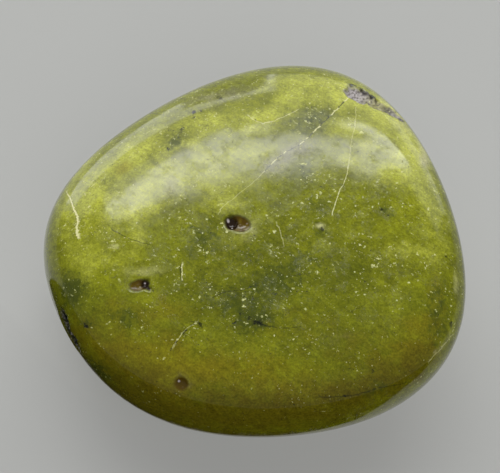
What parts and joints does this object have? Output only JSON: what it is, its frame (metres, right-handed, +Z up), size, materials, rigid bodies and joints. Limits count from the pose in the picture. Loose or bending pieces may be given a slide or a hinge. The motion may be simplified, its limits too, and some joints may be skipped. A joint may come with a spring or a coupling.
{
  "type": "tumbled serpentine pebble",
  "caption": "Rounded, slightly flattened polished green serpentine pebble with small pits and rough chips, resting on a small flat spot.",
  "frame": {"origin": "under the middle of the stone's bounding box, at the small flat spot that it rests on", "axes": "+X along the longest side, +Y away from the side with the small round pit, +Z up, along the shortest side"},
  "size_m": [0.0359, 0.035, 0.0185],
  "materials": {
    "polished_serpentine": "tumbled and polished yellow-green serpentine, clouded with dark green, with pale hairline veins, tiny bright grains and dull brown pits"
  },
  "bodies": {
    "root": {"serpentine_stone": "polished_serpentine"}
  },
  "joints": []
}
